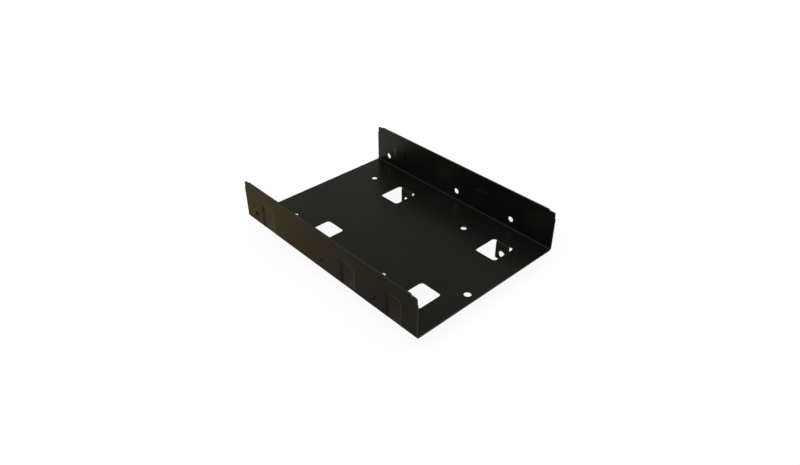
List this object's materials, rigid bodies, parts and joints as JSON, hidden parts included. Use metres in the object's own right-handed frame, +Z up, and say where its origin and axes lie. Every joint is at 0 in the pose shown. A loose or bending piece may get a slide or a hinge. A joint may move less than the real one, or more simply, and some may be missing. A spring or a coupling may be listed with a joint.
{
  "type": "drive bay adapter bracket",
  "caption": "Channel of folded black steel sheet with pressed ribs, screw holes and down-turned tabs, which adapts a large drive bay to smaller drives.",
  "frame": {"origin": "on the surface it stands on, under the middle of the channel, level with the lower edges of the tabs", "axes": "+X across the bay, +Y along the bay away from the end with the single floor hole, +Z up out of the channel"},
  "size_m": [0.1016, 0.1404, 0.0353],
  "materials": {
    "black_paint": "satin black paint on steel sheet"
  },
  "bodies": {
    "root": {"bracket": "black_paint"}
  },
  "joints": []
}
